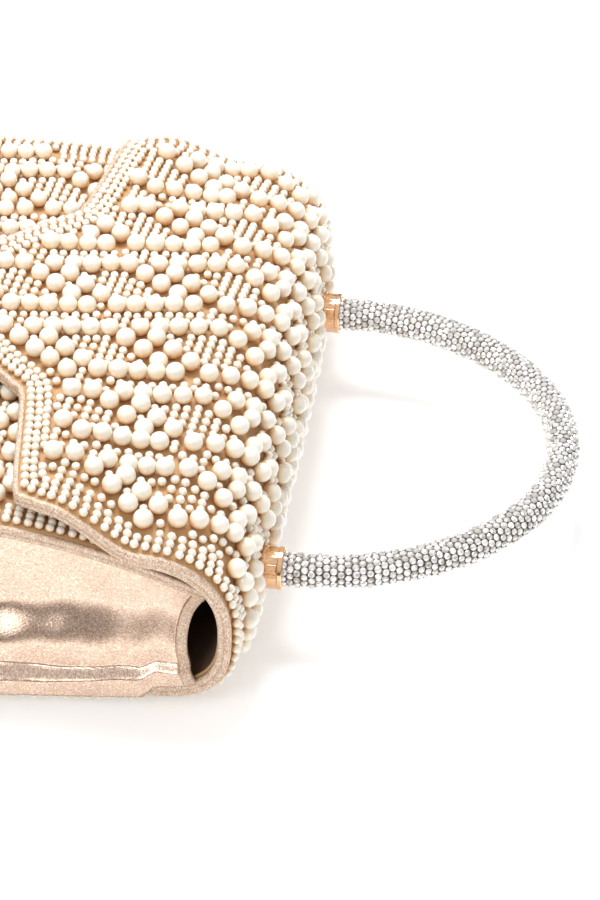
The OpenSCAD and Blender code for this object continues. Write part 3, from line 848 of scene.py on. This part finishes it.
frontCover = flatSheet("frontPanelFabric", 60, 30, frontHalf, frontFoot, bag["mouthY"] - 0.6, fabric, 0.6,
                       frontPoint)
dress(frontCover, baseFinish, "base_fabric", "front_cover")
frontLining = flatSheet("frontLining", 60, 30, frontHalf, bag["baseY"] + 3.6, bag["mouthY"] - 1.5,
                        lining, 3.8, frontPoint)
dress(frontLining, liningFinish, "lining", "lining_front")
frontRibbon = ribbonOn("frontEdgeRibbon", frontLine, ribbonSection * [0.9, 0.95], frontPoint)
dress(frontRibbon, bindingFinish, "binding", "front_binding")
for thing in (frontCover, frontLining, frontRibbon):
    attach(thing, "bag")


# base
def baseHalf(z):
    t = (z - bag["backZ"]) / (bag["frontZ"] - bag["backZ"])
    return bag["halfBase"] + (bag["halfFront"] - bag["halfBase"]) * t


def basePoint(z, x, o):
    z, x, o = np.broadcast_arrays(z, x, o)
    return np.stack([x, bag["baseY"] - o, z], -1).astype(float)


baseTop = nodeBox("base_cover")[1][2]
topHalf = baseHalf(baseTop)
baseLine = resample(np.array([[bag["backZ"], bag["halfBase"]], [baseTop, topHalf], [baseTop, -topHalf],
                              [bag["backZ"], -bag["halfBase"]], [bag["backZ"], bag["halfBase"]]]), 0.8)[::-1]


def insideBase(p):
    along = (p[:, 0] > bag["backZ"] + 1.2) & (p[:, 0] < baseTop - 1.2)
    return along & (np.abs(p[:, 1]) < baseHalf(p[:, 0]) - 1.2)


small, large = layBeads(baseLine, insideBase, lambda p: gaps(p, baseLine),
                        (bag["backZ"], baseTop, -bag["halfBase"], bag["halfBase"]))
r = radii(len(small), pattern["smallRadius"], 0.03)
baseSmall = ballField("smallBeadsBase", basePoint(small[:, 0], small[:, 1], r - 0.15), r, 2, (0, -1, 0))
r = radii(len(large), pattern["largeRadius"], 0.02)
baseLarge = ballField("largePearlsBase", basePoint(large[:, 0], large[:, 1], r - 0.1), r, 3, (0, -1, 0))
for thing in (baseSmall, baseLarge):
    dress(thing, pearlFinish, "pearl", "base_beads")
    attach(thing, "bag")
baseCover = flatSheet("basePanelFabric", 12, 20, baseHalf, bag["backZ"], baseTop, fabric, 0.3, basePoint)
dress(baseCover, baseFinish, "base_fabric", "base_cover")
baseLining = flatSheet("baseLining", 12, 20, baseHalf, bag["backZ"] + 3.5, baseTop - 3.5, lining, 2.2,
                       basePoint)
dress(baseLining, liningFinish, "lining", "lining_base")
for thing in (baseCover, baseLining):
    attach(thing, "bag")
print("base made")

# gussets
gusset = {
    "foot": nodeBox("back_cover")[0][2] + 0.4,      # height of the lower edge beside the back
    "thickness": 0.9,
    "endFoot": 13,              # where the mouth edge meets the back, past the fold
    "hem": 3.2,
    "dip": 4,                   # how hollow the mouth edge is
    "startUp": 3.7,             # where the cloth begins, past the base's fabric
    "headIn": 2.5,              # from the front's side edge in to the gusset's top edge
    "foldsFrom": -62,           # the long fold opens out from here to the mouth
    "foldsTo": 0,
    "shelf": 0.36,              # share of the inward lean taken up by the ledge low down
    "foldSpare": 1.5,           # cloth taken up by the folds, added to the cut height
    "fold": 0.5,                # and by the long slanting fold
}


def gussetEnd(h):               # the mouth edge is hollow between its ends
    low, high = bag["foldY"] + gusset["endFoot"], bag["mouthY"] - gusset["hem"]
    return low + (high - low) * h - gusset["dip"] * np.sin(math.pi * h)


# the lower edge runs beside the back, then tucks in above the lining where the top begins to curve:
# inside the rounded top that height is the middle less the half height by the cube-root curve
def gussetFoot(y):
    ahead = np.clip((y - bag["foldY"]) / (bag["depth"] - bag["topBow"] - bag["wall"]), 0, 0.999)
    half = (topHeight(bag["halfTop"]) - bag["backZ"]) / 2
    inner = bag["backZ"] + half - (half - bag["wall"]) * (1 - ahead ** 3) ** (1 / 3) + 0.3
    tuck = smooth(bag["foldY"] - 1, bag["foldY"] + 5, y)
    x = backHalf(np.minimum(y, bag["foldY"])) + 0.9 - 1.7 * tuck
    return x, gusset["foot"] + (inner - gusset["foot"]) * tuck


# the cloth leans in from the back's edge to the front's edge in three steps, each an eased step in the
# height share h: a narrow ledge low down, a slanting fold that widens towards the mouth, and the rest
def gussetPoint(y, h, o):
    footX, footZ = gussetFoot(y)
    head = bag["halfFront"] - gusset["headIn"]
    u = np.clip((y - gusset["foldsFrom"]) / (gusset["foldsTo"] - gusset["foldsFrom"]), 0, 1)
    ledge = 0.09 + 0.05 * u + 0.012 * np.sin(9 * u + 1)
    centre, width = 0.36 + 0.24 * u - 0.05 * u * u, 0.11 + 0.1 * u
    rest = 1 - gusset["shelf"] - gusset["fold"]
    lean = (gusset["shelf"] * smooth(ledge, ledge + 0.06 + 0.02 * np.sin(5 * u) ** 2, h)
            + gusset["fold"] * smooth(centre - width, centre + width, h) + rest * smooth(0.0, 1.0, h))
    z = footZ + (frontHeight(y) - bag["wall"] - 0.3 - footZ) * h
    fade = np.sin(math.pi * np.clip(h, 0, 1)) ** 0.7
    soft = (0.35 * np.sin(0.21 * y + 5 * h) + 0.2 * np.sin(0.5 * y - 7 * h + 1)
            + 0.07 * np.sin(1.9 * y + 4 * h) * (1 - smooth(0.15, 0.4, h)) * (1 - u)) * fade
    belly = -1.0 * np.sin(math.pi * h) * u
    return np.stack([footX + (head - footX) * lean + o + soft + belly, y, z], -1)


def gussetSheet(name, sign, fromY, toY, outer, inner, rows, cols):
    hh, tt = np.meshgrid(np.linspace(0, 1, cols), np.linspace(0, 1, rows))
    yy = fromY(hh) + (toY(hh) - fromY(hh)) * tt
    upper, lower = gussetPoint(yy, hh, outer), gussetPoint(yy, hh, inner)
    flip = np.array([sign, 1, 1])
    return closedSheet(name, upper * flip, lower * flip, np.stack([yy, hh * 55], -1) / 10)


def gussetStart(h):
    return np.full_like(h, bag["baseY"] + gusset["startUp"])


# the cut: from the back's edge straight up to the front's edge, half way along, and from base to mouth
for name, sign in (("Near", 1), ("Far", -1)):
    cloth = gussetSheet("gusset" + name, sign, gussetStart, gussetEnd, gusset["thickness"], 0.0, 130, 110)
    dress(cloth, lameFinish, "lame", "gusset_" + name.lower())
    hem = gussetSheet("gussetHem" + name, sign, gussetEnd, lambda h: gussetEnd(h) + gusset["hem"],
                      gusset["thickness"] + 0.35, -0.35, 6, 90)
    dress(hem, bindingFinish, "lame", "gusset_hem_" + name.lower())
    for thing in (cloth, hem):
        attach(thing, "bag")
print("gussets made")

# handle
sleeveLow, sleeveHigh = nodeBox("stone_sleeve")
handle = {
    "radius": (sleeveHigh[2] - sleeveLow[2]) / 2,
    "z": (sleeveHigh[2] + sleeveLow[2]) / 2,
    "sideShift": 12,            # the side arcs are struck from this far past the middle
    "stonePitch": 2.36,
    "stonesRound": 14,
    "stoneRadius": 1.1,
    "stoneHeight": 0.75,
}
handle["half"] = sleeveHigh[0] - handle["radius"]
handle["apexY"] = sleeveHigh[1] - handle["radius"]
handle["startY"] = sleeveLow[1]


# the centre line by length: leg, side arc, crown arc, side arc, leg; returns place and outward direction
def archLine(length):
    shift = handle["sideShift"]
    sideR = handle["half"] + shift
    crownR = sideR - shift * 5 / 3
    crownY = handle["apexY"] - crownR
    sideY = crownY - shift * 4 / 3
    turn = math.acos(3 / 5)
    leg, sideRun = sideY - handle["startY"], sideR * turn
    crownRun = crownR * (math.pi - 2 * turn)
    total = 2 * (leg + sideRun) + crownRun
    d = np.minimum(length, total - length)
    onSide = np.clip((d - leg) / sideR, 0, turn)
    onCrown = np.clip((d - leg - sideRun) / crownR, 0, math.pi / 2 - turn)
    angle = onSide + onCrown
    c, s = np.cos(angle), np.sin(angle)
    straight, aside = d < leg, d < leg + sideRun
    x = np.where(straight, handle["half"], np.where(aside, sideR * c - shift, crownR * c))
    y = np.where(straight, handle["startY"] + d, np.where(aside, sideY + sideR * s, crownY + crownR * s))
    mirrored = np.where(length > total / 2, -1, 1)
    return np.stack([x * mirrored, y], -1), np.stack([c * mirrored, s], -1), total


def tubePoint(length, turn, radius):
    place, out, _ = archLine(length)
    x = place[..., 0] + radius * np.cos(turn) * out[..., 0]
    y = place[..., 1] + radius * np.cos(turn) * out[..., 1]
    return np.stack([x, y, handle["z"] + radius * np.sin(turn)], -1)


archTotal = archLine(np.zeros(1))[2]


def meshTube():
    rows, cols = 160, 28
    length, turn = np.meshgrid(np.linspace(0, archTotal, rows),
                               np.linspace(0, 2 * math.pi, cols, endpoint=False), indexing="ij")
    points = tubePoint(length, turn, handle["radius"] - handle["stoneHeight"])
    return closedStrip("handleMesh", points, np.stack([length, turn * 5], -1) / 10)


# a round cut stone: a flat table, eight sloping crown facets and eight sides down into the mesh
def stoneShape():
    turn = np.arange(8) * math.pi / 4
    rings = []
    for radius, height in ((0.5, 1.0), (0.88, 0.55), (1.0, 0.3), (0.92, -0.1)):
        rings.append(np.stack([radius * np.cos(turn), radius * np.sin(turn), np.full(8, height)], -1))
    points = np.concatenate(rings + [np.array([[0, 0, 1.0]])])
    faces = []
    for ring in range(3):
        for k in range(8):
            n = (k + 1) % 8
            a = ring * 8
            faces += [(a + k, a + 8 + k, a + 8 + n), (a + k, a + 8 + n, a + n)]
    faces += [(32, k, (k + 1) % 8) for k in range(8)]
    return points, np.array(faces)


def layStones():
    spacing = handle["stonePitch"] * 0.88
    count = int(archTotal / spacing)
    i, k = np.meshgrid(np.arange(count), np.arange(handle["stonesRound"]), indexing="ij")
    length = ((i + 0.5) / count * archTotal).ravel()
    turn = ((k + 0.5 * (i % 2)) * 2 * math.pi / handle["stonesRound"]).ravel()
    keep = (length > 4.5) & (length < archTotal - 4.5)
    length, turn = length[keep], turn[keep]
    length += rng.normal(0, 0.06, len(length))
    place, out, _ = archLine(length)
    centre = tubePoint(length, turn, handle["radius"] - handle["stoneHeight"])
    up = np.stack([np.cos(turn) * out[:, 0], np.cos(turn) * out[:, 1], np.sin(turn)], -1)
    up += rng.normal(0, 0.07, up.shape)
    up /= np.linalg.norm(up, axis=1, keepdims=True)
    along = np.stack([-out[:, 1], out[:, 0], np.zeros(len(out))], -1)
    right = np.cross(up, along)
    right /= np.linalg.norm(right, axis=1, keepdims=True)
    ahead = np.cross(up, right)
    shape, faces = stoneShape()
    spin = rng.uniform(0, math.pi / 4, len(centre))
    c, s = np.cos(spin)[:, None], np.sin(spin)[:, None]
    r = handle["stoneRadius"] * (1 + rng.normal(0, 0.03, len(centre)))[:, None]
    px, py = shape[None, :, 0] * c - shape[None, :, 1] * s, shape[None, :, 0] * s + shape[None, :, 1] * c
    points = (centre[:, None] + right[:, None] * (px * r)[..., None] + ahead[:, None] * (py * r)[..., None]
              + up[:, None] * (shape[None, :, 2] * handle["stoneHeight"])[..., None])
    allFaces = (faces[None] + np.arange(len(centre))[:, None, None] * len(shape)).reshape(-1, 3)
    tone = np.repeat(rng.uniform(0, 1, len(centre)), len(shape))
    thing = newObject("handleStones", points.reshape(-1, 3), allFaces, tone=tone, smoothFaces=False)
    turnOutwards(thing)
    return thing, len(centre)


handleTube = meshTube()
dress(handleTube, meshFinish, "rhinestone", "stone_sleeve")
stones, stoneCount = layStones()
dress(stones, stoneFinish, "rhinestone", "stone_sleeve")
for thing in (handleTube, stones):
    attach(thing, "bag")
print("stones", stoneCount)

# end caps: turned brass, a rounded shoulder, a faint waist and a lip, with a tongue in a window
capShape = {
    "neck": 3.4,
    "shoulder": 4.2,            # length of the rounded part
    "waist": 0.2,
    "lip": 1.5,
    "mouthDepth": 1.3,          # how far the sleeve's end stands inside
    "windowFrom": 4.7,
    "windowTo": 8.4,
    "tongueHalf": 1.4,
    "slot": 1.5,                # the open gap beside the tongue
    "slotDepth": 1.3,
    "groove": 0.2,
    "grooveDepth": 0.4,
}


def between(a, b, v):           # 1 inside a to b with steep sides
    return smooth(a - 0.07, a + 0.07, v) * (1 - smooth(b - 0.07, b + 0.07, v))


# radius by length, spun round the handle's axis: a quarter turn's sine for the shoulder, a cosine dip for
# the waist, a raised lip, then back inside the mouth; the window is pressed in where it falls
def turnedCap(name, capNode, tongueNode):
    low, high = nodeBox(capNode)
    tongueLow, tongueHigh = nodeBox(tongueNode)
    middle, radius, length = (low + high) / 2, (high - low)[2] / 2, (high - low)[1]
    tongue = (tongueLow + tongueHigh) / 2 - middle
    tongueTurn = math.atan2(tongue[2], tongue[0])
    quarter = np.linspace(0, math.pi / 2, 14)
    shoulder = np.stack([capShape["neck"] + (radius - capShape["neck"]) * np.sin(quarter),
                         capShape["shoulder"] * (1 - np.cos(quarter))], 1)
    t = np.linspace(capShape["shoulder"], length - 0.3, 70)[1:]
    dip = capShape["waist"] * between(capShape["shoulder"] + 0.8, length - capShape["lip"], t)
    wall = np.stack([radius - dip, t], 1)
    mouth = handle["radius"] + 0.25
    floorAt = length - capShape["mouthDepth"]
    rim = np.array([(radius - 0.1, length - 0.08), (radius - 0.3, length), (mouth + 0.1, length),
                    (mouth, length - 0.1), (mouth, floorAt), (0.5, floorAt)])
    profile = np.concatenate([[(0.3, 0.0)], shoulder, wall, rim])
    turn = np.linspace(0, 2 * math.pi, 180, endpoint=False)
    rr, tt = np.meshgrid(profile[:, 0], turn, indexing="ij")
    yy = np.broadcast_to(profile[:, 1:2], rr.shape)
    across = ((tt - tongueTurn + math.pi) % (2 * math.pi) - math.pi) * radius
    half, groove = capShape["tongueHalf"], capShape["groove"]
    start, end = capShape["windowFrom"], capShape["windowTo"]
    inWindow = between(start, end, yy)
    slot = between(-half - capShape["slot"], -half, across) * inWindow
    frameBand = between(-half, half + groove, across) * inWindow
    leaf = between(-half, half, across) * between(start + groove, end - groove, yy)
    outside = rr > radius - 1
    pressed = capShape["slotDepth"] * slot + capShape["grooveDepth"] * np.clip(frameBand - leaf, 0, 1)
    rr = rr - np.where(outside, pressed, 0)
    points = np.stack([middle[0] + rr * np.cos(tt), low[1] + yy, middle[2] + rr * np.sin(tt)], -1)
    piece = closedStrip(name, points, np.stack([yy, tt], -1) / 10)
    dress(piece, goldFinish, "gold", capNode, tongueNode)
    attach(piece, "bag")


turnedCap("endCapNear", "end_cap_near", "cap_tongue_near")
turnedCap("endCapFar", "end_cap_far", "cap_tongue_far")
print("caps made")

# slip pocket on the inside of the back: a cloth patch with a turned hem along its open edge
pocketLow, pocketHigh = nodeBox("slip_pocket")
pocketHemDepth = 6
hemLine = pocketHigh[1] - pocketHemDepth


# height over the lining: nothing at the sewn edges, a shallow rise towards the open edge
def pocketPoint(x, y, o):
    u = (x - pocketLow[0]) / (pocketHigh[0] - pocketLow[0])
    v = (y - pocketLow[1]) / (pocketHigh[1] - pocketLow[1])
    rise = (pocketHigh[2] - pocketLow[2] - 0.8) * np.sin(math.pi * np.clip(u, 0, 1)) ** 0.5 * smooth(0, 1, v)
    return np.stack([x, y, pocketLow[2] + 0.1 + rise + o], -1)


def pocketSheet(name, fromY, toY, outer, inner, rows):
    x = np.linspace(pocketLow[0], pocketHigh[0], 60)
    yy, xx = np.meshgrid(np.linspace(fromY, toY, rows), x, indexing="ij")
    upper, lower = pocketPoint(xx, yy, outer), pocketPoint(xx, yy, inner)
    return closedSheet(name, upper, lower, np.stack([yy, xx], -1) / 10)


pocket = pocketSheet("slipPocket", pocketLow[1], hemLine, 0.5, 0.0, 40)
dress(pocket, liningFinish, "lining", "slip_pocket")
pocketHem = pocketSheet("slipPocketHem", hemLine, pocketHigh[1], 0.7, -0.1, 8)
dress(pocketHem, facingFinish, "lining", "slip_pocket")
for thing in (pocket, pocketHem):
    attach(thing, "bag")
print("pocket made")

# metal fittings and the hidden boards keep their solids and take a finish
kept = [
    (goldFinish, ("snap_socket", "snap_stud")),
    (steelFinish, ("snap_socket_washer", "snap_stud_washer", "handle_core", "handle_screw_near",
                   "handle_screw_far", "handle_washer_near", "handle_washer_far")),
    (cardFinish, ("back_board", "base_board", "front_board")),
]
for finish, nodes in kept:
    for node in nodes:
        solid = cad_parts[node]
        solid.data.materials.clear()
        solid.data.materials.append(finish)

# floor, light and camera
bpy.ops.mesh.primitive_plane_add(size=8, location=(0, 0, -0.0002))
floor = bpy.context.object
floor.name = "floor"
floor.data.materials.append(newMaterial("paleFloor", {
    "Base Color": toLinear("#F4F4F4"), "Roughness": 0.9, "Emission Color": (1, 1, 1, 1),
    "Emission Strength": 0.3})[0])

world = bpy.data.worlds.new("studio")
bpy.context.scene.world = world
world.use_nodes = True
worldTree = world.node_tree
place = addNode(worldTree, "ShaderNodeTexCoord")
split = addNode(worldTree, "ShaderNodeSeparateXYZ", {"Vector": place.outputs["Generated"]})
sky = ramp(worldTree, split.outputs["Z"], [(0.0, "#C08A55"), (0.1, "#7E766E"), (0.26, "#8F8B86"),
                                            (0.42, "#F0F0F0"), (0.8, "#FFFFFF")])
background = worldTree.nodes["Background"]
worldTree.links.new(sky, background.inputs["Color"])
background.inputs["Strength"].default_value = 0.76


def addLight(name, size, power, place, aim):
    light = bpy.data.lights.new(name, "AREA")
    light.shape = "DISK"
    light.size = size
    light.energy = power
    lamp = bpy.data.objects.new(name, light)
    bpy.context.collection.objects.link(lamp)
    lamp.location = place
    lamp.rotation_euler = (Vector(aim) - Vector(place)).to_track_quat("-Z", "Y").to_euler()
    return lamp


addLight("keyLight", 0.5, 9, (-0.35, -0.15, 1.0), (0, 0, 0))
addLight("fillLight", 0.4, 2.5, (0.8, -0.4, 0.75), (0, 0, 0.03))

view = {"azimuth": 98, "elevation": 38.2, "distance": 1098.4, "aim": (32.4, 28.9, 45.4), "lens": 144.8}
azimuth, elevation = math.radians(view["azimuth"]), math.radians(view["elevation"])
level = math.cos(elevation)
away = Vector((math.sin(azimuth) * level, -math.cos(azimuth) * level, math.sin(elevation)))
camera = bpy.data.objects.new("camera", bpy.data.cameras.new("camera"))
bpy.context.collection.objects.link(camera)
camera.data.lens = view["lens"]
camera.data.clip_start, camera.data.clip_end = 0.05, 20
camera.location = Vector(view["aim"]) * mm + away * view["distance"] * mm
camera.rotation_euler = (-away).to_track_quat("-Z", "Y").to_euler()
bpy.context.scene.camera = camera
bpy.context.scene.view_settings.view_transform = "Standard"
